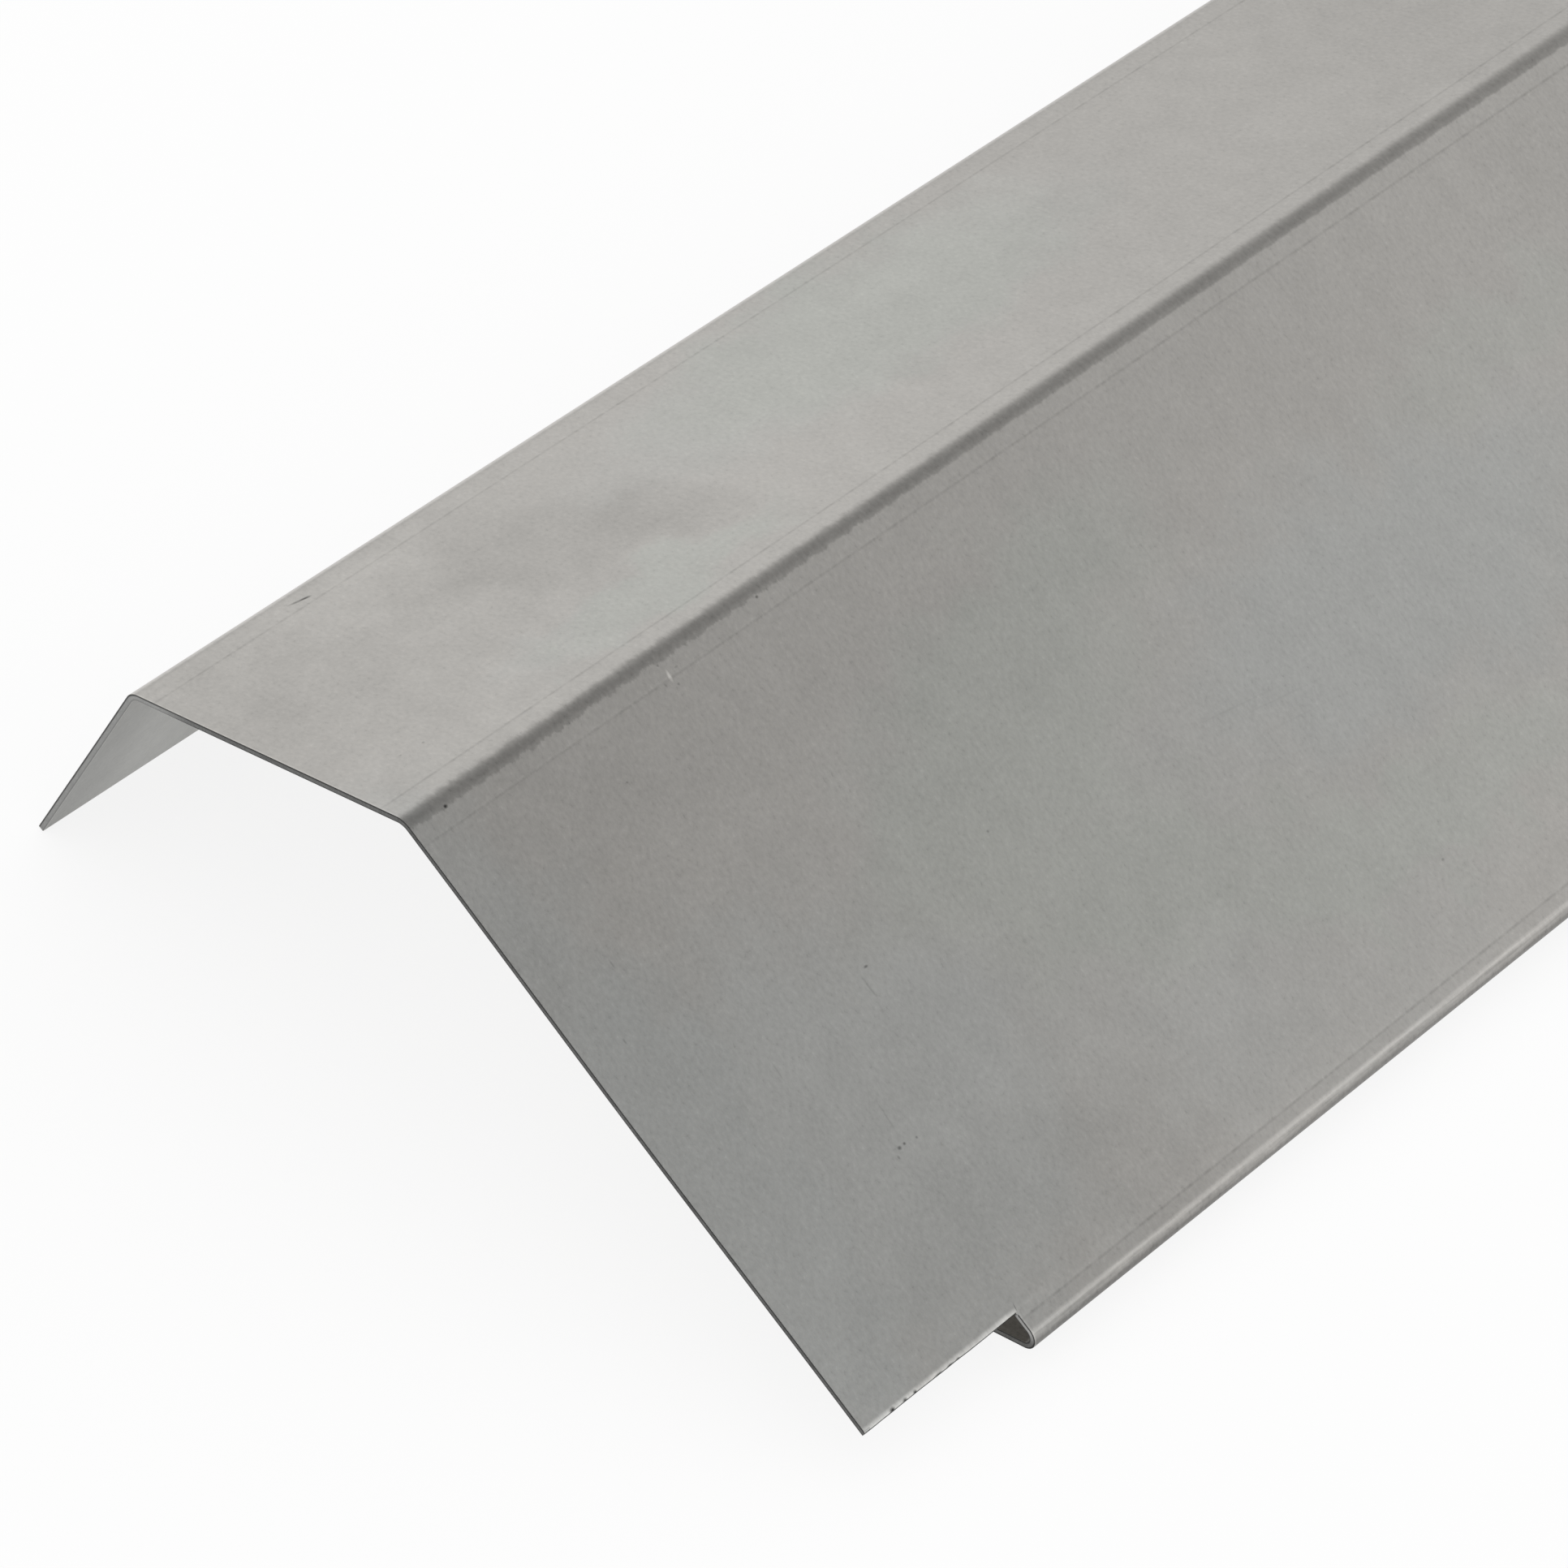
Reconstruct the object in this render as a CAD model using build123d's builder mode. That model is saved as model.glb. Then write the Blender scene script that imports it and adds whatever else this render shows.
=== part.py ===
from build123d import *
from math import atan2, degrees, radians, tan
import os

# Fascia cap: one length of folded aluminium sheet, in millimetres.
# +X runs along the length from the notched end, the sloping face looks towards -Y and +Z is up.
# The piece stands unheld, on the edge of its back leg and the tip of its drip return.

# Stock
length = 1000.0
thickness = 1.2

# Outside widths: the leg and the top flange to the sharp corners of the shallow bends,
# the face and the return to the outside of the drip bend
leg_width = 55.0
top_width = 66.0
face_width = 125.0
return_width = 15.0

# Inside angles of the three bends, in degrees
leg_angle = 132.0
crest_angle = 135.0
drip_angle = 45.0

# Inside radii of the bends
shallow_bend_radius = 3.0
drip_bend_radius = 1.5

# Lap notch at the near end: how far it runs along the cap, and how far up the face
notch_length = 35.0
notch_height = 6.0

# Outside radii
shallow_outside_radius = shallow_bend_radius + thickness
drip_outside_radius = drip_bend_radius + thickness

# Distance from the sharp corner of the drip bend to the outside of its round
drip_overhang = drip_outside_radius / tan(radians(drip_angle / 2)) - drip_outside_radius


def from_point(start, distance, heading):
    """The point at a distance from start, along a heading in degrees."""
    return start + Vector(distance, 0).rotate(Axis.Z, heading)


# Outside line of the section, drawn with the top flange level: X towards the leg, Y up
leg_heading = leg_angle - 180
face_heading = 360 - crest_angle
return_heading = face_heading - 180 - drip_angle
crest_corner = Vector(0, 0)
leg_corner = from_point(crest_corner, top_width, 0)
leg_foot = from_point(leg_corner, leg_width, leg_heading)
drip_corner = from_point(crest_corner, face_width + drip_overhang, face_heading)
return_tip = from_point(drip_corner, return_width + drip_overhang, return_heading)

# Where the notch starts on the face, and a cut end just past the return's tip
notch_start = from_point(crest_corner, face_width - notch_height, face_heading)
notch_end = from_point(return_tip, thickness, return_heading)


def sheet_along(corners, outside_radii):
    """Section of the sheet whose outside follows the corners, with its bends rounded."""
    with BuildSketch() as sheet:
        with BuildLine():
            FilletPolyline(*corners, radius=outside_radii)
            offset(amount=thickness, side=Side.LEFT)
        make_face()
    return sheet.sketch


section = sheet_along(
    [leg_foot, leg_corner, crest_corner, drip_corner, return_tip],
    [shallow_outside_radius, shallow_outside_radius, drip_outside_radius],
)
notched_strip = sheet_along([notch_start, drip_corner, notch_end], [drip_outside_radius])

# The piece rests on the inner corner of the leg's edge and the outer corner of the return's tip
foot_inside = from_point(leg_foot, thickness, leg_heading - 90)
rest_line = foot_inside - return_tip
lean = -degrees(atan2(rest_line.Y, rest_line.X))
leaned_box = section.rotate(Axis.Z, lean).bounding_box()

# Plane of the near end: the leaned section stands on Z = 0, centred on Y = 0
end_plane = Plane(
    origin=(-length / 2, -leaned_box.center().X, -leaned_box.min.Y),
    x_dir=Vector(0, 1, 0).rotate(Axis.X, lean),
    z_dir=(1, 0, 0),
)

# Folded sheet with the drip edge cut back at the near end, where the next length laps
with BuildPart() as cap_sheet:
    with BuildSketch(end_plane):
        add(section)
    extrude(amount=length)
    with BuildSketch(end_plane):
        add(notched_strip)
    extrude(amount=notch_length, mode=Mode.SUBTRACT)

cap_sheet.part.label = "cap_sheet"
os.makedirs("parts", exist_ok=True)
export_step(cap_sheet.part, "parts/cap_sheet.step")
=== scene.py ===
from math import atan2, ceil, cos, pi, radians, sin, tan

import bmesh
import bpy
from bmesh.types import BMEdge, BMVert
from bpy.props import FloatProperty, FloatVectorProperty, PointerProperty
from bpy.types import Operator, Panel, PropertyGroup
from mathutils import Euler, Matrix, Vector, noise


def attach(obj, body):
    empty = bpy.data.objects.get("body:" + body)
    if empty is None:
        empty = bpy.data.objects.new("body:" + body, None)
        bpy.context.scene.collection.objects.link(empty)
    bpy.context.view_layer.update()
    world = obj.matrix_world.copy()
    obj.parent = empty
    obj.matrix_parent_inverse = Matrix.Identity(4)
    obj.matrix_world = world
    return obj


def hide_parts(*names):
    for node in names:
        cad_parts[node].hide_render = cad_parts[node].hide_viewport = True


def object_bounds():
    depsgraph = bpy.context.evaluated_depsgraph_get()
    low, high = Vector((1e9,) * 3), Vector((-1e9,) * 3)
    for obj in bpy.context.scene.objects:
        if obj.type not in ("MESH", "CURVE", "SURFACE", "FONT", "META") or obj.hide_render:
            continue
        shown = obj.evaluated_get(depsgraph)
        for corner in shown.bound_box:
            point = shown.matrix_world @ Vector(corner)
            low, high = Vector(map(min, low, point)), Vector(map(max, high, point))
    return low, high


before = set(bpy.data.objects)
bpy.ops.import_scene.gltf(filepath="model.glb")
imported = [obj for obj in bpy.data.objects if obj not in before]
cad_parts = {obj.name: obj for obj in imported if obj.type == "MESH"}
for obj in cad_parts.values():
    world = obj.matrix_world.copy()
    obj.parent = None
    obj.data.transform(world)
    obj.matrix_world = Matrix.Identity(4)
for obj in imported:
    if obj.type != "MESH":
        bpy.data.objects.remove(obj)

bl_info = {
    "name": "Folded fascia cap",
    "version": (1, 0, 0),
    "blender": (4, 5, 0),
    "location": "View3D > Sidebar > Fascia cap",
    "description": "Folds a mill-finish aluminium fascia cap and sets up its studio",
    "category": "Add Mesh",
}

MM = 0.001
cad_low, cad_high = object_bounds()


# Sizes, colours and light that a user would change

def size(name, description, default):
    """A length in metres."""
    return FloatProperty(
        name=name, description=description, default=default, min=0.0, unit="LENGTH", precision=4)


def angle(name, description, degrees):
    """An angle, given in degrees."""
    return FloatProperty(
        name=name, description=description, default=radians(degrees), subtype="ANGLE")


def share(name, description, default):
    """A number from 0 to 1."""
    return FloatProperty(
        name=name, description=description, default=default, min=0.0, max=1.0, subtype="FACTOR")


def colour(name, description, default):
    """A linear colour."""
    return FloatVectorProperty(
        name=name, description=description, default=default, size=3, min=0.0, max=1.0,
        subtype="COLOR")


class FASCIACAP_PG_sheet(PropertyGroup):
    """Sizes of the folded sheet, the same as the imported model's"""

    length: size("Length", "Length of the cap", cad_high.x - cad_low.x)
    thickness: size("Thickness", "Thickness of the sheet", 1.2 * MM)
    leg_width: size("Leg", "Outside width of the back leg, to its bend's sharp corner", 55 * MM)
    top_width: size("Top flange", "Outside width between the bends' sharp corners", 66 * MM)
    face_width: size("Face", "Outside width of the face, from the crest to the drip bend", 125 * MM)
    return_width: size("Return", "Outside width of the drip return", 15 * MM)
    leg_angle: angle("Leg angle", "Inside angle between the leg and the top flange", 132)
    crest_angle: angle("Crest angle", "Inside angle between the top flange and the face", 135)
    drip_angle: angle("Drip angle", "Inside angle between the face and the return", 45)
    shallow_radius: size("Shallow bends", "Inside radius of the leg bend and the crest", 3 * MM)
    drip_radius: size("Drip bend", "Inside radius of the drip bend", 1.5 * MM)
    notch_length: size("Notch length", "How far the lap notch runs along the cap", 35 * MM)
    notch_height: size("Notch height", "How far the lap notch comes up the face", 6 * MM)
    edge_round: size("Sheared edges", "Rounding of the sheared edges", 0.14 * MM)
    snip_round: size("Snipped edge", "Rounding of the notch's long edge", 0.5 * MM)
    slack: size("Slack", "How far the flats wander from a true plane", 0.12 * MM)
    face_sag: size("Face sag", "How far the middle of the face hangs inward", 0.45 * MM)


class FASCIACAP_PG_finish(PropertyGroup):
    """Mill finish of the sheet"""

    warm: colour("Warm sheet", "Rolled surface where it looks warmest", (0.555, 0.539, 0.512))
    cool: colour("Cool sheet", "Rolled surface where it looks coolest", (0.536, 0.541, 0.524))
    green: colour(
        "Greenish sheet", "Rolled surface where it looks greenest", (0.543, 0.548, 0.515))
    cut: colour("Cut edge", "Sheared edge of the aluminium", (0.45, 0.45, 0.44))
    roughness: share("Roughness", "Roughness of the rolled surface", 0.36)
    grain: share("Grain", "Strength of the rolling grain", 0.5)
    die_reach: size("Die marks", "From the middle of a bend to the die's marks", 5.2 * MM)


class FASCIACAP_PG_studio(PropertyGroup):
    """Floor, light and camera"""

    floor: colour("Floor", "Colour of the studio floor", (0.92, 0.92, 0.92))
    floor_width: FloatProperty(
        name="Floor width", description="Width of the floor", default=16.0, unit="LENGTH")
    wall_light: share("Walls", "Light from the walls, as the sheet reflects it", 1.0)
    horizon_light: share(
        "Horizon", "Light from the foot of the walls, as the sheet reflects it", 0.5)
    ceiling_light: share("Ceiling", "Light from the ceiling, as the sheet reflects it", 0.22)
    camera_place: FloatVectorProperty(
        name="Camera", description="Place of the camera", subtype="TRANSLATION",
        default=(-0.967716, -0.462670, 0.751887))
    camera_turn: FloatVectorProperty(
        name="Camera turn", description="Turn of the camera", subtype="EULER",
        default=(radians(44.6154), radians(-3.3267), radians(-46.3628)))
    camera_lens: FloatProperty(
        name="Lens", description="Focal length on a 36 mm sensor, in mm", default=140.74)


# Where the bends and flats lie along the sheet

class Layout:
    """Flats and bends of the section from the leg's foot, and where they lie along the outside."""

    def __init__(self, sheet):
        shallow = sheet.shallow_radius + sheet.thickness
        drip = sheet.drip_radius + sheet.thickness
        leg_turn = pi - sheet.leg_angle
        crest_turn = pi - sheet.crest_angle
        drip_turn = pi - sheet.drip_angle
        leg_inset = shallow * tan(leg_turn / 2)
        crest_inset = shallow * tan(crest_turn / 2)
        self.leg = sheet.leg_width - leg_inset
        self.leg_bend = (shallow, leg_turn)
        self.top = sheet.top_width - leg_inset - crest_inset
        self.crest_bend = (shallow, crest_turn)
        self.face = sheet.face_width - sheet.notch_height - crest_inset
        self.notched_face = sheet.notch_height - drip
        self.drip_bend = (drip, drip_turn)
        self.drip_return = sheet.return_width - drip

        leg_half = shallow * leg_turn / 2
        crest_half = shallow * crest_turn / 2
        drip_half = drip * drip_turn / 2
        self.leg_bend_run = self.leg + leg_half
        self.leg_bend_length = 2 * leg_half
        self.crest_run = self.leg + shallow * leg_turn + self.top + crest_half
        self.crest_top = self.crest_run - crest_half
        self.crest_bottom = self.crest_run + crest_half
        self.notch_run = self.crest_run + crest_half + self.face
        self.drip_run = self.notch_run + self.notched_face + drip_half
        self.drip_top = self.drip_run - drip_half
        self.drip_bottom = self.drip_run + drip_half


# How finely the sheet is drawn

FLAT_STEP = 6 * MM
HELD_EDGE = 1 * MM
BEND_STEP = radians(2.8)
LONG_STEP = 12.5 * MM
NOTCH_STEP = 1.4 * MM
SNIP_SEGMENTS = 4
SHEAR_SEGMENTS = 2

# Distance below which two places are the same, and angles of a sheared corner and of a crease

SAME_PLACE = 0.01 * MM
SHEARED_CORNER = radians(60)
CREASE = radians(15)

# Waves of the flats along the cap and across it, and where their noise is read

WAVE_ALONG = 160 * MM
WAVE_ACROSS = 70 * MM
WAVE_PLACE = 3.1

# Waves of the snipped edge, where their noise is read, and how far they go

SNIP_WAVE = 3.1 * MM
SNIP_PLACE = 7.7
SNIP_WANDER = 0.07 * MM

# What each vertex notes: outside or inside, distance across the sheet, heading, slack and sag

NOTES = ("side", "run", "turn", "slack", "sag")


class Strip:
    """Section of the sheet as a strip of faces, drawn by moving an edge across the sheet."""

    def __init__(self, bm, x, heading, thickness):
        self.bm = bm
        self.heading = heading
        self.distance = 0.0
        layers = bm.verts.layers.float
        self.side, self.run, self.turn, self.slack, self.sag = (layers.new(n) for n in NOTES)
        outer = bm.verts.new((x, 0.0, 0.0))
        inner = bm.verts.new(outer.co + self.inward() * thickness)
        outer[self.side], inner[self.side] = 1.0, -1.0
        self.edge = bm.edges.new((outer, inner))
        self.note(0.0, 0.0)

    def onward(self):
        """Direction in which the edge moves."""
        return Vector((0.0, cos(self.heading), sin(self.heading)))

    def inward(self):
        """Direction from the outside of the sheet to its inside."""
        return Vector((0.0, -sin(self.heading), cos(self.heading)))

    def ends(self):
        """Outer and inner end of the edge."""
        return sorted(self.edge.verts, key=lambda v: -v[self.side])

    def note(self, slack, sag):
        """Notes on the edge's ends where they are, and how far they may wander and sag."""
        for v in self.edge.verts:
            v[self.run], v[self.turn] = self.distance, self.heading
            v[self.slack], v[self.sag] = slack, sag

    def flat(self, width, sag=0.0):
        """Draws a flat that sags in its middle, with short faces at its ends so it shades flat."""
        held = min(HELD_EDGE, width / 3)
        count = max(1, ceil((width - 2 * held) / FLAT_STEP))
        steps = [held] + [(width - 2 * held) / count] * count + [held]
        done = 0.0
        for step in steps:
            made = bmesh.ops.extrude_edge_only(self.bm, edges=[self.edge])["geom"]
            ends = [part for part in made if isinstance(part, BMVert)]
            self.edge = next(
                part for part in made
                if isinstance(part, BMEdge) and set(part.verts) == set(ends))
            bmesh.ops.translate(self.bm, verts=ends, vec=self.onward() * step)
            done += step
            self.distance += step
            middling = sin(pi * min(1.0, done / width)) ** 2
            self.note(middling, middling * sag)

    def bend(self, radius, turn, thickness):
        """Draws a bend of the given outside radius."""
        outer = self.ends()[0]
        centre = outer.co + self.inward() * radius
        count = ceil(turn / BEND_STEP)
        for _ in range(count):
            made = bmesh.ops.spin(
                self.bm, geom=[self.edge], cent=centre, axis=(1, 0, 0), dvec=(0, 0, 0),
                angle=turn / count, steps=1, use_merge=False, use_duplicate=False)["geom_last"]
            self.edge = next(part for part in made if isinstance(part, BMEdge))
            self.heading += turn / count
            self.distance += radius * turn / count
            self.note(0.0, 0.0)


def even_steps(distance, step):
    """A distance cut into even steps of about the given size."""
    count = ceil(abs(distance) / step)
    return [distance / count] * count


def extrude_along(bm, faces, steps):
    """Extrudes the faces along the cap, step by step."""
    region = {part for face in faces for part in (face, *face.edges, *face.verts)}
    for step in steps:
        region = bmesh.ops.extrude_face_region(bm, geom=list(region))["geom"]
        moved = [part for part in region if isinstance(part, BMVert)]
        bmesh.ops.translate(bm, verts=moved, vec=(step, 0, 0))


def round_edges(bm, edges, offset, segments):
    """Bevels the edges."""
    bmesh.ops.bevel(
        bm, geom=edges, offset=offset, offset_type="OFFSET", segments=segments, profile=0.5,
        affect="EDGES", clamp_overlap=True, material=-1)


def draw_section(bm, sheet, layout):
    """Draws the section, and gives the faces that go on over the notch, and how far it leans."""
    strip = Strip(bm, cad_low.x + sheet.notch_length, sheet.leg_angle, sheet.thickness)
    foot_outer, foot_inner = strip.ends()
    strip.flat(layout.leg)
    strip.bend(*layout.leg_bend, sheet.thickness)
    strip.flat(layout.top)
    strip.bend(*layout.crest_bend, sheet.thickness)
    strip.flat(layout.face, sheet.face_sag)
    lapped = list(bm.faces)
    strip.flat(layout.notched_face)
    strip.bend(*layout.drip_bend, sheet.thickness)
    strip.flat(layout.drip_return)
    tip_outer = strip.ends()[0]

    # It leans until the leg's inner corner and the return's tip stand on the floor
    rest = foot_inner.co - tip_outer.co
    lean = -atan2(rest.z, rest.y)
    turned = Matrix.Rotation(lean, 3, "X")
    bmesh.ops.rotate(bm, verts=bm.verts, cent=(0, 0, 0), matrix=turned)
    place = Vector((0, cad_high.y - foot_outer.co.y, cad_low.z - tip_outer.co.z))
    bmesh.ops.translate(bm, verts=bm.verts, vec=place)
    return lapped, lean


def map_sheet(bm):
    """Tells the cut faces from the rest, and maps the place along the cap and across the sheet."""
    side, run = (bm.verts.layers.float[n] for n in ("side", "run"))
    sheet_map = bm.loops.layers.uv.new("sheet")
    for face in bm.faces:
        face.material_index = int(len({v[side] for v in face.verts}) > 1)
        for loop in face.loops:
            v = loop.vert
            loop[sheet_map].uv = (v.co.x - cad_low.x, v[run] * v[side])


def slacken(bm, sheet, layout, lean):
    """Lets the flats wander a little from a true plane, and the snipped edge from a true line."""
    run, turn, slack, sag = (
        bm.verts.layers.float[n] for n in ("run", "turn", "slack", "sag"))
    notch_x = cad_low.x + sheet.notch_length
    for v in bm.verts:
        across = v[turn] + lean
        inward = Vector((0, -sin(across), cos(across)))
        wander = noise.noise(Vector((v.co.x / WAVE_ALONG, v[run] / WAVE_ACROSS, WAVE_PLACE)))
        v.co += inward * (v[sag] + wander * v[slack] * sheet.slack)
        beside_notch = abs(v[run] - layout.notch_run) < SAME_PLACE
        if v.co.x < notch_x - NOTCH_STEP / 2 and beside_notch:
            along = Vector((0, cos(across), sin(across)))
            wander = noise.noise(Vector((v.co.x / SNIP_WAVE, SNIP_PLACE, 0)))
            v.co += along * (wander * SNIP_WANDER)


def round_cut_edges(bm, sheet, layout):
    """Rolls over the snipped edge on its outside, and rounds the sheared edges."""
    side, run = (bm.verts.layers.float[n] for n in ("side", "run"))
    notch_x = cad_low.x + sheet.notch_length
    snipped = [
        e for e in bm.edges
        if all(v[side] > 0 and v.co.x < notch_x + SAME_PLACE for v in e.verts)
        and all(abs(v[run] - layout.notch_run) < SAME_PLACE for v in e.verts)
        and len({f.material_index for f in e.link_faces}) == 2]
    round_edges(bm, snipped, sheet.snip_round, SNIP_SEGMENTS)
    sheared = [
        e for e in bm.edges
        if len(e.link_faces) == 2 and e.calc_face_angle() > SHEARED_CORNER
        and any(f.material_index == 0 for f in e.link_faces)]
    round_edges(bm, sheared, sheet.edge_round, SHEAR_SEGMENTS)


def fold_sheet(sheet):
    """The folded sheet as a bmesh: its outside and inside have material 0, its cut faces 1."""
    layout = Layout(sheet)
    bm = bmesh.new()
    lapped, lean = draw_section(bm, sheet, layout)

    # The whole section runs to the far end, and the lapped part of it to the near end
    extrude_along(bm, list(bm.faces), even_steps(sheet.length - sheet.notch_length, LONG_STEP))
    extrude_along(bm, lapped, even_steps(-sheet.notch_length, NOTCH_STEP))
    bmesh.ops.recalc_face_normals(bm, faces=bm.faces)
    map_sheet(bm)
    slacken(bm, sheet, layout, lean)
    round_cut_edges(bm, sheet, layout)
    return bm


# Shader nodes

class Field:
    """A socket on which shader maths is written as Python expressions."""

    def __init__(self, shader, socket):
        self.shader = shader
        self.socket = socket

    def maths(self, operation, *values):
        """A Math node on the values."""
        return self.shader.node(
            "ShaderNodeMath", {"operation": operation}, dict(enumerate(values)))

    def __add__(self, other):
        return self.maths("ADD", self, other)

    def __sub__(self, other):
        return self.maths("SUBTRACT", self, other)

    def __mul__(self, other):
        return self.maths("MULTIPLY", self, other)

    def __rsub__(self, other):
        return self.maths("SUBTRACT", other, self)

    __radd__ = __add__
    __rmul__ = __mul__

    def __abs__(self):
        return self.maths("ABSOLUTE", self)

    def most(self, other):
        """The larger of two values."""
        return self.maths("MAXIMUM", self, other)

    def ramp(self, start, end):
        """Rises smoothly from 0 at start to 1 at end."""
        return self.shader.node(
            "ShaderNodeMapRange", {"interpolation_type": "SMOOTHSTEP"}, {0: self, 1: start, 2: end})

    def fade(self, place, reach):
        """Rises smoothly from 0 to 1 between two distances from the place."""
        return self.ramp(place + reach[0], place + reach[1])

    def line(self, place, width):
        """1 on the place, falling to 0 at half the width on each side."""
        return 1 - abs(self - place).ramp(0.0, width / 2)


def weighed(start, *parts):
    """The start plus each part times its weight."""
    total = start
    for part, weight in parts:
        total = part * weight + total
    return total


class Shader:
    """Node tree of a material or of the world."""

    def __init__(self, owner):
        owner.use_nodes = True
        self.tree = owner.node_tree
        self.tree.nodes.clear()

    def node(self, kind, settings=None, values=None, output=0):
        """Adds a node with its settings and the values or links of its sockets."""
        made = self.tree.nodes.new(kind)
        for name, value in (settings or {}).items():
            setattr(made, name, value)
        for name, value in (values or {}).items():
            if isinstance(value, Field):
                self.tree.links.new(value.socket, made.inputs[name])
            else:
                made.inputs[name].default_value = value
        return Field(self, made.outputs[output]) if len(made.outputs) else made

    def scaled(self, vector, scale):
        """A vector times another, part by part."""
        return self.node("ShaderNodeVectorMath", {"operation": "MULTIPLY"}, {0: vector, 1: scale})

    def tinted(self, tint, brightness):
        """A colour made lighter or darker."""
        return self.node(
            "ShaderNodeVectorMath", {"operation": "SCALE"}, {0: tint, "Scale": brightness})

    def mixed(self, share_of_second, first, second):
        """Two colours mixed."""
        return self.node(
            "ShaderNodeMix", {"data_type": "VECTOR"}, {0: share_of_second, 4: first, 5: second}, 1)

    def noise(self, vector, scale, detail, roughness, flat):
        """Noise around 0, mostly from -0.5 to 0.5, on the flat sheet map or in space."""
        return self.node(
            "ShaderNodeTexNoise", {"noise_dimensions": "2D" if flat else "3D"},
            {"Vector": vector, "Scale": scale, "Detail": detail, "Roughness": roughness}) - 0.5

    def spot(self, vector, place, reach, turn, strength, core):
        """An ellipse that fades smoothly to 0 at its rim, from the given strength in its core."""
        placed = self.node("ShaderNodeMapping", {"vector_type": "TEXTURE"}, {
            "Vector": vector, "Location": (*place, 0.0), "Rotation": (0.0, 0.0, turn),
            "Scale": (*reach, 1.0)})
        away = self.node("ShaderNodeVectorMath", {"operation": "LENGTH"}, {0: placed}, "Value")
        return self.node(
            "ShaderNodeMapRange", {"interpolation_type": "SMOOTHSTEP"},
            {0: away, 1: 1.0, 2: core, 4: strength})


# Patches of tone and tint, and marks of handling

# Each row, in mm and degrees: along the cap from the notched end, from the crest down the face,
# half length, half width, turn, and how much darker the sheet is there. In the patches the last
# number is how much cooler or greener the sheet is. Only the small marks have sharp outlines.

TONE_PATCHES = (
    (69, -37, 29, 22, 22, 0.085),
    (86, -28, 16, 12, 30, 0.06),
    (8, -38, 10, 9, 0, 0.035),
    (38, -54, 22, 11, 0, -0.045),
    (144, -20, 8, 9, 0, 0.035),
    (46, 114, 52, 24, 0, 0.09),
    (104, 93, 14, 10, 0, -0.04),
    (185, 100, 46, 20, 0, -0.025),
    (50, 84, 28, 8, 0, -0.025),
    (4, 46, 34, 34, 0, 0.05),
    (58, 34, 78, 34, 0, 0.035),
    (160, 20, 110, 24, 0, 0.03),
    (310, -34, 80, 42, 0, 0.045),
    (177, -49, 42, 11, 0, -0.045),
    (30, -14, 38, 12, 0, -0.025),
    # Painted highlight on the leg bend and the top flange beside it
    (32, -61, 50, 6, 0, -0.045),
    (18, 13, 32, 14, 0, 0.03),
    (255, -8, 50, 8, 0, 0.035),
    (295, 24, 64, 36, 0, 0.045),
)
COOL_PATCHES = (
    (145, -42, 80, 24, 0, 0.45),
    (60, -14, 34, 8, 0, 0.35),
    (0, 60, 24, 90, 0, 0.8),
    (28, 84, 58, 56, 0, 0.85),
    (92, 70, 46, 60, 0, 0.35),
    (182, 62, 75, 32, 0, 0.9),
    (125, 104, 55, 26, 0, 0.3),
    (20, -144, 60, 50, 0, 0.8),
)
GREEN_PATCHES = (
    (150, -42, 62, 26, 0, 1.0),
    (70, -13, 36, 9, 0, 0.9),
    (104, 40, 66, 24, -22, 1.0),
    (98, 70, 34, 22, 0, 0.8),
    (124, 88, 46, 18, 20, 0.9),
    (166, 97, 50, 13, 0, 0.9),
    (235, 38, 44, 13, 0, 0.6),
)
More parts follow.
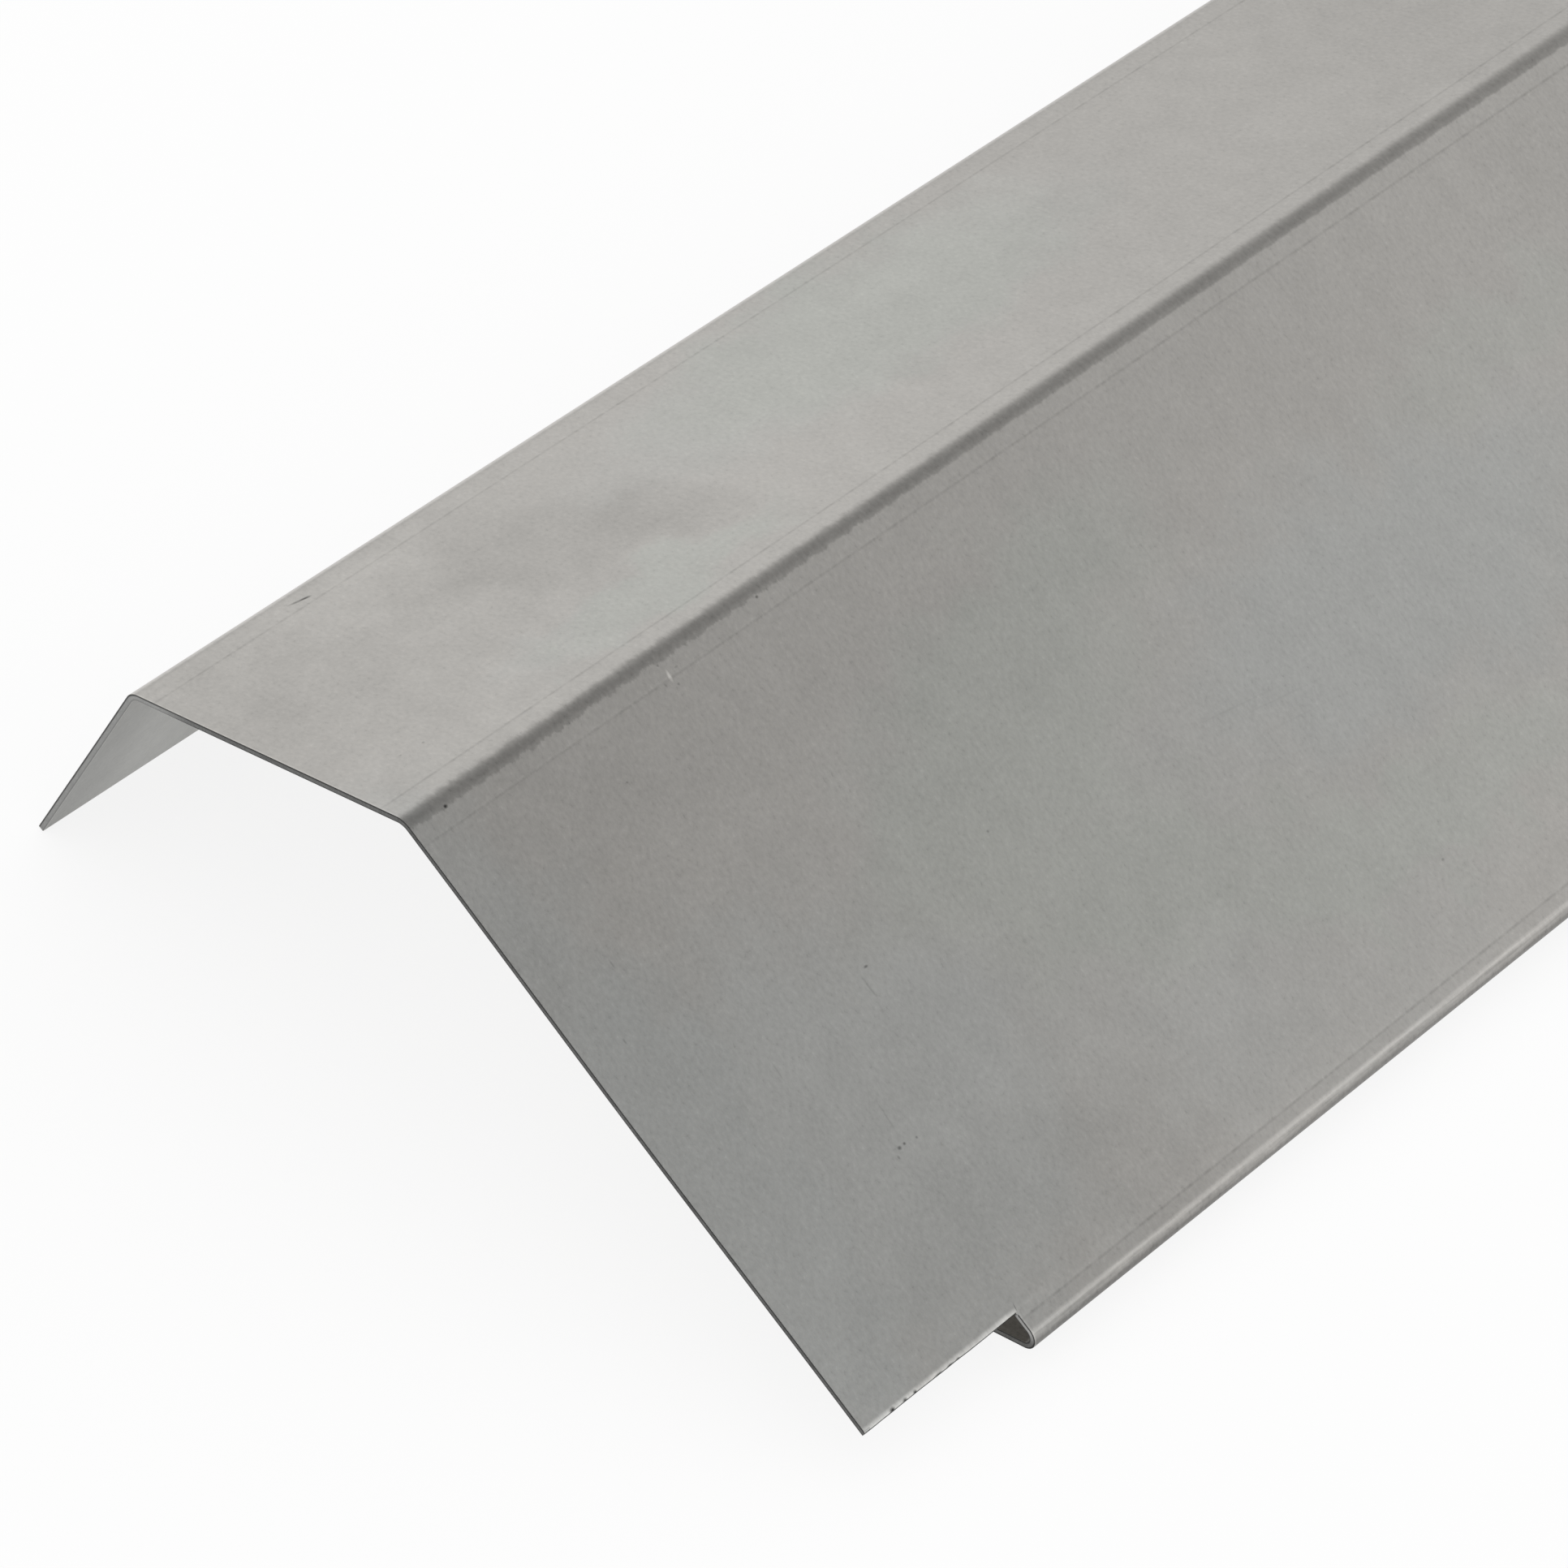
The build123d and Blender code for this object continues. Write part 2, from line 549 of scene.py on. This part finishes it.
MARKS = (
    (77.4, 2.2, 0.45, 0.4, 0, 0.6),
    (7.5, 1.9, 0.55, 0.5, 0, 0.75),
    (36.6, 15.0, 0.3, 0.3, 0, 0.3),
    (51.7, 60.9, 0.65, 0.35, 0, 0.5),
    (35.0, -61.6, 1.5, 0.45, 14, 0.8),
    (33.3, -62.0, 1.9, 0.45, 14, 0.5),
    (49.9, 64.0, 0.3, 3.4, 0, 0.2),
    (37.8, 82.0, 0.25, 4.4, 5, 0.13),
    (26.9, 66.2, 0.22, 2.8, 3, 0.12),
    (36.2, 87.1, 0.55, 0.5, 0, 0.6),
    (37.4, 87.0, 0.4, 0.4, 0, 0.6),
    (39.9, 87.4, 0.35, 0.35, 0, 0.4),
    (35.0, 88.2, 0.3, 0.6, 0, 0.35),
    (35.3, 118.1, 0.16, 1.1, 10, 0.45),
    (6.4, 118.7, 0.9, 0.7, 0, 1.2),
    (9.3, 118.8, 0.7, 0.7, 0, 1.2),
    (11.6, 118.8, 0.6, 0.7, 0, 1.2),
    (16.8, 118.9, 1.4, 0.5, 0, 1.0),
    (19.6, 118.9, 1.2, 0.5, 0, 1.0),
    (21.4, 118.9, 0.8, 0.5, 0, 1.0),
    (0.0, 119.0, 1.1, 0.9, 0, 0.6),
    (86.0, 55.0, 0.4, 0.4, 0, 0.35),
    (155.6, 104.0, 0.5, 0.4, 0, 0.3),
    (14.5, 37.0, 0.25, 1.2, 0, 0.2),
    (8.0, 48.0, 0.25, 0.8, 0, 0.25),
    (16.5, -13.0, 0.4, 0.4, 0, 0.3),
    (12.0, -13.5, 0.35, 0.3, 0, 0.25),
    (140.0, 62.5, 16.0, 0.3, 9, 0.05),
    (150.0, 66.0, 14.0, 0.3, 9, 0.05),
    (152.0, 70.5, 11.0, 0.3, 8, 0.04),
    (207.0, 67.0, 9.0, 0.3, 4, -0.04),
    (54.9, 4.8, 0.45, 1.5, 8, -0.6),
    (54.3, 2.4, 0.35, 0.35, 0, 0.3),
    (55.4, 6.7, 0.4, 0.35, 0, 0.3),
    (53.3, 5.8, 0.35, 0.5, 0, 0.25),
    (57.0, 4.2, 0.6, 0.3, 0, 0.2),
)

# How much of a mark is its even core, and the waves per metre and reach of the soft outlines

SOFT_CORE = 0.4
SHARP_CORE = 0.1
OUTLINE_WAVES = 60.0
OUTLINE_WANDER = 24 * MM

# Patterns of the sheet: waves per metre along the cap and across it, detail and roughness

CLOUDS = (15.0, 24.0, 3.0, 0.5)
MOTTLE = (150.0, 110.0, 3.0, 0.6)
GRAIN = (1250.0, 850.0, 3.0, 0.65)
PRESS_BREAKS = (330.0, 0.0, 4.0, 0.7)
CREST_RAGS = (420.0, 160.0, 4.0, 0.7)
DRIP_STREAKS = (60.0, 900.0, 3.0, 0.7)

# Grain at which dark and light flecks come in, and how deep its relief is

DARK_FLECKS = (-0.14, -0.3)
LIGHT_FLECKS = (0.16, 0.32)
GRAIN_DEPTH = 0.02 * MM

# Press marks: noise at which they are whole, width, and how much farther off the leg bend's lies

PRESS_WHOLE = (-0.16, 0.2)
PRESS_WIDTH = 0.9 * MM
LEG_PRESS_FACTOR = 1.15

# Painted shade of the bends, partly stretched metal at the crest: how far its outline strays, and
# where it fades from a bend's ends

CREST_RAG = 0.8 * MM
CREST_NEAR_RAG = 1.8 * MM
CREST_TOP_FADE = (-0.6 * MM, 1.4 * MM)
CREST_BOTTOM_FADE = (0.6 * MM, 0.0)
DRIP_STREAK = 1.2 * MM
DRIP_TOP_FADE = (0.7 * MM, 2.8 * MM)
DRIP_BOTTOM_FADE = (1 * MM, -1 * MM)

# Painted highlight below the drip bend's start, and width of the leg bend's painted highlight, in
# its lengths

DRIP_HIGHLIGHT_PLACE = 0.9 * MM
DRIP_HIGHLIGHT_WIDTH = 1.2 * MM
LEG_BEND_HIGHLIGHT_SPREAD = 1.1

# Snipped edge: where the painted highlight on its roll-over fades in across the sheet, and out
# beside the notch

ROLL_HIGHLIGHT_FADE = (-1.2 * MM, -0.5 * MM)
ROLL_HIGHLIGHT_END_FADE = (0.5 * MM, 0.0)

# Distances from the notched end between which the tones near it come in, painted shade and
# highlight among them

RAG_REACH = (150 * MM, 60 * MM)
FOLD_SHADE_REACH = (120 * MM, 50 * MM)
ROUGH_END_REACH = (90 * MM, 30 * MM)
INSIDE_END_SHADE_REACH = (20 * MM, 0.0)
RIM_HIGHLIGHT_REACH = (0.4 * MM, 0.1 * MM)

# Distances across the map between which the inside begins

INSIDE = (0.0, -1 * MM)

# Painted light on the top flange where it is brightest: along the cap, from the crest, half length,
# half width, strength

PAINTED_TOP_LIGHT = (100 * MM, -40 * MM, 105 * MM, 85 * MM, 0.075)


class SheetMap:
    """Where a point of the sheet lies: on the map, along the cap and across the sheet."""

    def __init__(self, shader, sheet):
        self.shader = shader
        self.layout = Layout(sheet)
        self.place = shader.node("ShaderNodeUVMap", {"uv_map": "sheet"})
        self.run = shader.node("ShaderNodeSeparateXYZ", {}, {0: self.place}, "Y")
        self.along = shader.node("ShaderNodeSeparateXYZ", {}, {0: self.place}, "X")

    def pattern(self, along, across, detail, roughness):
        """Noise with so many waves per metre along the cap and across the sheet."""
        waves = self.shader.scaled(self.place, (along, across, 0.0))
        return self.shader.noise(waves, 1.0, detail, roughness, flat=True)

    def spots(self, vector, rows, core, shift):
        """The sum of the spots, all shifted along the cap and across the sheet."""
        total = 0.0
        for x, down, half_length, half_width, turn, strength in rows:
            centre = (x * MM + shift, self.layout.crest_run + down * MM + shift)
            reach = (half_length * MM, half_width * MM)
            spot = self.shader.spot(vector, centre, reach, radians(turn), strength, core)
            total = spot + total
        return total

    def soft_spots(self, *tables):
        """The sum of the spots of each table, with outlines that wander."""
        wander = self.shader.node("ShaderNodeTexNoise", {"noise_dimensions": "2D"}, {
            "Vector": self.place, "Scale": OUTLINE_WAVES, "Detail": 3.0, "Roughness": 0.6}, "Color")
        wandered = self.shader.node("ShaderNodeVectorMath", {"operation": "MULTIPLY_ADD"}, {
            0: wander, 1: (OUTLINE_WANDER, OUTLINE_WANDER, 0.0), 2: self.place})
        return [self.spots(wandered, rows, SOFT_CORE, OUTLINE_WANDER / 2) for rows in tables]

    def press_marks(self, reach, broken):
        """Broken lines that the die's shoulders pressed beside the bends."""
        layout = self.layout
        pressed = self.run.line(layout.crest_run - reach, PRESS_WIDTH)
        for middle in (
            layout.crest_run + reach,
            layout.leg_bend_run + reach * LEG_PRESS_FACTOR,
            layout.drip_run - reach,
        ):
            pressed = pressed.most(self.run.line(middle, PRESS_WIDTH))
        return pressed * (broken * 0.6 + 0.4)

    def bend_shade_and_highlights(self):
        """Painted crest shade, partly stretched metal, and painted shade and highlight of the drip
        bend.
        """
        layout = self.layout
        # Darker stretched metal of the crest, deepened with painted shade
        rag = self.along.ramp(*RAG_REACH) * CREST_NEAR_RAG + CREST_RAG
        ragged = self.run + self.pattern(*CREST_RAGS) * rag
        crest = ragged.fade(layout.crest_top, CREST_TOP_FADE) * ragged.fade(
            layout.crest_bottom, CREST_BOTTOM_FADE)
        streaked = self.run + self.pattern(*DRIP_STREAKS) * DRIP_STREAK
        # Painted shade on the lower part of the drip bend, streaked along the cap
        drip = streaked.fade(layout.drip_top, DRIP_TOP_FADE) * streaked.fade(
            layout.drip_bottom, DRIP_BOTTOM_FADE)
        # Painted highlight just below the drip bend's start
        drip_highlight = streaked.line(layout.drip_top + DRIP_HIGHLIGHT_PLACE, DRIP_HIGHLIGHT_WIDTH)
        return crest, drip, drip_highlight


def mill_finish(sheet, finish):
    """Rolled aluminium, grained across the length, with press marks, marks of handling, and painted
    shade and highlights.
    """
    material = bpy.data.materials.new("mill_finish_aluminium")
    shader = Shader(material)
    sheet_map = SheetMap(shader, sheet)
    layout, run, along = sheet_map.layout, sheet_map.run, sheet_map.along

    # Cloudy tone, mottle, rolling grain and flecks
    cloud = sheet_map.pattern(*CLOUDS)
    mottle = sheet_map.pattern(*MOTTLE)
    grain = sheet_map.pattern(*GRAIN)
    flecks = grain.ramp(*DARK_FLECKS) * 0.5 - grain.ramp(*LIGHT_FLECKS) * 0.4

    # Darker and lighter patches, one a painted highlight by the leg bend, cooler and greener
    # patches, and small nicks and scratches
    patch_tone, cooler, greener = sheet_map.soft_spots(TONE_PATCHES, COOL_PATCHES, GREEN_PATCHES)
    marked = sheet_map.spots(sheet_map.place, MARKS, SHARP_CORE, 0.0)

    # Press marks, painted shade and highlights of the bends, and a painted highlight on the snipped
    # edge's roll-over
    broken = sheet_map.pattern(*PRESS_BREAKS).ramp(*PRESS_WHOLE)
    pressed = sheet_map.press_marks(finish.die_reach, broken)
    crest, drip, drip_highlight = sheet_map.bend_shade_and_highlights()
    # Painted highlight along the leg bend
    leg_bend = run.line(layout.leg_bend_run, LEG_BEND_HIGHLIGHT_SPREAD * layout.leg_bend_length)
    # Painted highlight on the snipped edge's roll-over
    rolled = run.fade(layout.notch_run, ROLL_HIGHLIGHT_FADE) * along.fade(sheet.notch_length, ROLL_HIGHLIGHT_END_FADE)

    # Painted light on the top flange a little way in, a painted highlight on its near end's rim,
    # and its near end rougher
    on_top = run.ramp(layout.crest_run, layout.crest_top)
    x, down, half_length, half_width, strength = PAINTED_TOP_LIGHT
    painted_top_light = shader.spot(
        sheet_map.place, (x, layout.crest_run + down), (half_length, half_width), 0.0,
        strength, SHARP_CORE) * on_top
    rough_end = along.ramp(*ROUGH_END_REACH) * on_top
    # Painted highlight along the top flange's rim at the near end
    rim = along.ramp(*RIM_HIGHLIGHT_REACH) * on_top

    # Painted shade on the inside in the drip fold, stronger towards the notched end, and on the
    # inside near that end
    fold_shade = run.ramp(-layout.notch_run, -layout.drip_top) * (along.ramp(*FOLD_SHADE_REACH) * 0.35 + 0.15)
    # Painted shade on the inside close to the notched end
    inside_end_shade = along.ramp(*INSIDE_END_SHADE_REACH) * run.ramp(*INSIDE)

    # How much lighter each makes the sheet, how much rougher, and how far it stands out
    tone = weighed(
        1.0,
        (cloud, 0.07),
        (mottle, rough_end * 0.05 + 0.13),
        (grain, finish.grain * 0.56),
        (flecks, -0.16),
        (patch_tone, -1.0),
        (marked, -1.0),
        (pressed, -0.16),
        (crest, -0.28),
        (leg_bend, 0.04),
        (drip, -0.54),
        (drip_highlight, 0.18),
        (rolled, broken * 0.25 + 0.25),
        (rim, 0.15),
        (painted_top_light, 1.0),
        (fold_shade, -1.0),
        (inside_end_shade, -0.28),
    )
    rough = weighed(
        finish.roughness,
        (cloud, 0.05),
        (grain, 0.06),
        (patch_tone, 0.2),
        (pressed, 0.08),
        (crest, 0.07),
        (drip, 0.04),
    )
    relief = weighed(0.0, (grain, 1.5), (mottle, 2.0), (pressed, -1.5), (flecks, 2.0))
    tint = shader.mixed(cooler, finish.warm, finish.cool)
    tint = shader.mixed(greener, tint, finish.green)
    normal = shader.node(
        "ShaderNodeBump", {}, {"Strength": 0.35, "Distance": GRAIN_DEPTH, "Height": relief})
    surface = shader.node("ShaderNodeBsdfPrincipled", {}, {
        "Base Color": shader.tinted(tint, tone), "Metallic": 1.0, "Roughness": rough,
        "Normal": normal})
    shader.node("ShaderNodeOutputMaterial", {}, {"Surface": surface})
    return material


# Cut edges: waves per metre, detail and roughness of their patterns, and how deep the tearing is

TEARING = (2600.0, 3.0, 0.6)
TORN_PATCHES = (300.0, 4.0, 0.65)
TEARING_DEPTH = 0.06 * MM

# Where their painted shade along the rims comes in, from 0 in the middle of the thickness to 1 at a
# side

OUTER_RIM_SHADE = (0.35, 0.65)
INNER_RIM_SHADE = (0.45, 0.8)

# Where their lighter and darker stretches fade across the sheet

CUT_LEG_FADE = (18 * MM, 6 * MM)
CUT_FACE_FADE = (-2 * MM, 2 * MM)
CUT_NOTCH_FADE = (0.0, 0.4 * MM)
CUT_DRIP_FADE = (1 * MM, -3 * MM)


def cut_finish(sheet, finish):
    """Sheared aluminium: a torn core between rims of painted shade, lightest on the leg and by the
    notch.
    """
    layout = Layout(sheet)
    material = bpy.data.materials.new("sheared_aluminium")
    shader = Shader(material)
    place = shader.node("ShaderNodeTexCoord", {}, {}, "Object")
    side = shader.node("ShaderNodeAttribute", {"attribute_name": "side"}, {}, "Fac")
    run = shader.node("ShaderNodeAttribute", {"attribute_name": "run"}, {}, "Fac")
    tearing = shader.noise(place, *TEARING, flat=False)
    patches = shader.noise(place, *TORN_PATCHES, flat=False)
    on_leg = run.fade(layout.leg_bend_run, CUT_LEG_FADE)
    on_face = run.fade(layout.crest_run, CUT_FACE_FADE)
    by_notch = run.fade(layout.notch_run, CUT_NOTCH_FADE) * run.fade(
        layout.drip_run, CUT_DRIP_FADE)
    # The core is darker than the rolled sheet, partly its torn metal and partly painted shade
    core = weighed(
        0.35, (on_leg, 0.36), (by_notch, 0.73), (on_face, -0.05), (tearing, 0.4), (patches, 0.6))
    outer_rim_shade = (patches * 0.5 + side).ramp(*OUTER_RIM_SHADE) * weighed(
        0.7, (by_notch, 0.15), (on_leg, 0.05))
    inner_rim_shade = (patches * 0.5 - side).ramp(*INNER_RIM_SHADE) * weighed(
        0.7, (by_notch, 0.15), (on_leg, -0.45))
    tone = core * (1 - outer_rim_shade) * (1 - inner_rim_shade)
    normal = shader.node(
        "ShaderNodeBump", {}, {"Strength": 0.5, "Distance": TEARING_DEPTH, "Height": tearing})
    surface = shader.node("ShaderNodeBsdfPrincipled", {}, {
        "Base Color": shader.tinted(finish.cut, tone), "Metallic": 1.0,
        "Roughness": 0.5 + patches * 0.3, "Normal": normal})
    shader.node("ShaderNodeOutputMaterial", {}, {"Surface": surface})
    return material


def place_object(name, bm, materials):
    """A mesh object at the origin, made from the bmesh."""
    mesh = bpy.data.meshes.new(name)
    bm.to_mesh(mesh)
    bm.free()
    mesh.shade_smooth()
    mesh.set_sharp_from_angle(angle=CREASE)
    for material in materials:
        mesh.materials.append(material)
    made = bpy.data.objects.new(name, mesh)
    bpy.context.scene.collection.objects.link(made)
    return made


class FASCIACAP_OT_sheet(Operator):
    """Fold the sheet, round its sheared edges and give it its mill finish"""

    bl_idname = "fascia_cap.sheet"
    bl_label = "Folded sheet"

    def execute(self, context):
        sheet = context.scene.fascia_cap_sheet
        finish = context.scene.fascia_cap_finish
        materials = [mill_finish(sheet, finish), cut_finish(sheet, finish)]
        folded = place_object("folded_sheet", fold_sheet(sheet), materials)
        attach(folded, "root")
        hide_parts("cap_sheet")
        return {"FINISHED"}


# How white the studio floor is to the camera, and as the sheet reflects it

FLOOR_SEEN_WHITE = 0.85
FLOOR_REFLECTED_WHITE = 0.45

# Heights of a ray between which the walls brighten, and between which the ceiling begins

WALL_RISE = (0.15, 0.45)
CEILING_RISE = (0.50, 0.90)

# Colour of the light, and width of the camera's sensor in mm

WHITE = (1.0, 1.0, 1.0, 1.0)
SENSOR_WIDTH = 36.0


def floor_finish(studio):
    """Pale floor that keeps the shadow and shows white to the camera and in reflections."""
    material = bpy.data.materials.new("studio_floor")
    shader = Shader(material)
    lit = shader.node("ShaderNodeBsdfDiffuse", {}, {"Color": (*studio.floor, 1.0)})
    white = shader.node("ShaderNodeEmission", {}, {"Color": WHITE, "Strength": 1.0})
    camera = shader.node("ShaderNodeLightPath", {}, {}, "Is Camera Ray")
    glossy = shader.node("ShaderNodeLightPath", {}, {}, "Is Glossy Ray")
    seen = camera * FLOOR_SEEN_WHITE + glossy * FLOOR_REFLECTED_WHITE
    both = shader.node("ShaderNodeMixShader", {}, {0: seen, 1: lit, 2: white})
    shader.node("ShaderNodeOutputMaterial", {}, {"Surface": both})
    return material


def light_studio(studio):
    """White light, with darker wall feet and ceiling where the sheet reflects them."""
    world = bpy.data.worlds.new("studio_light")
    bpy.context.scene.world = world
    shader = Shader(world)
    direction = shader.node("ShaderNodeTexCoord", {}, {}, "Generated")
    height = shader.node("ShaderNodeSeparateXYZ", {}, {0: direction}, "Z")
    brighter = studio.wall_light - studio.horizon_light
    walls = studio.horizon_light + height.ramp(*WALL_RISE) * brighter
    reflected = walls * (1 - height.ramp(*CEILING_RISE) * (1 - studio.ceiling_light))
    glossy = shader.node("ShaderNodeLightPath", {}, {}, "Is Glossy Ray")
    strength = 1 - glossy * (1 - reflected)
    light = shader.node("ShaderNodeBackground", {}, {"Color": WHITE, "Strength": strength})
    shader.node("ShaderNodeOutputWorld", {}, {"Surface": light})


class FASCIACAP_OT_studio(Operator):
    """Lay the floor, light the studio and place the camera"""

    bl_idname = "fascia_cap.studio"
    bl_label = "Studio"

    def execute(self, context):
        studio = context.scene.fascia_cap_studio
        bm = bmesh.new()
        bmesh.ops.create_grid(bm, x_segments=1, y_segments=1, size=studio.floor_width / 2)
        bmesh.ops.translate(bm, verts=bm.verts, vec=(0, 0, cad_low.z))
        place_object("floor", bm, [floor_finish(studio)])
        light_studio(studio)
        lens = bpy.data.cameras.new("camera")
        lens.lens = studio.camera_lens
        lens.sensor_width = SENSOR_WIDTH
        camera = bpy.data.objects.new("camera", lens)
        context.scene.collection.objects.link(camera)
        camera.location = studio.camera_place
        camera.rotation_euler = Euler(studio.camera_turn)
        context.scene.camera = camera
        context.scene.view_settings.view_transform = "Standard"
        return {"FINISHED"}


class FASCIACAP_PT_sidebar(Panel):
    """Steps of the fascia cap, in the sidebar of the 3D view"""

    bl_idname = "FASCIACAP_PT_sidebar"
    bl_label = "Fascia cap"
    bl_space_type = "VIEW_3D"
    bl_region_type = "UI"
    bl_category = "Fascia cap"

    def draw(self, context):
        for group, operator in (
            ("fascia_cap_sheet", "fascia_cap.sheet"),
            ("fascia_cap_finish", None),
            ("fascia_cap_studio", "fascia_cap.studio"),
        ):
            box = self.layout.box()
            settings = getattr(context.scene, group)
            for name in settings.__annotations__:
                box.prop(settings, name)
            if operator:
                box.operator(operator)


CLASSES = (
    FASCIACAP_PG_sheet,
    FASCIACAP_PG_finish,
    FASCIACAP_PG_studio,
    FASCIACAP_OT_sheet,
    FASCIACAP_OT_studio,
    FASCIACAP_PT_sidebar,
)


def register():
    for each in CLASSES:
        bpy.utils.register_class(each)
    bpy.types.Scene.fascia_cap_sheet = PointerProperty(type=FASCIACAP_PG_sheet)
    bpy.types.Scene.fascia_cap_finish = PointerProperty(type=FASCIACAP_PG_finish)
    bpy.types.Scene.fascia_cap_studio = PointerProperty(type=FASCIACAP_PG_studio)


def unregister():
    del bpy.types.Scene.fascia_cap_studio
    del bpy.types.Scene.fascia_cap_finish
    del bpy.types.Scene.fascia_cap_sheet
    for each in reversed(CLASSES):
        bpy.utils.unregister_class(each)


def main():
    register()
    bpy.ops.fascia_cap.sheet()
    bpy.ops.fascia_cap.studio()


if __name__ == "__main__":
    main()
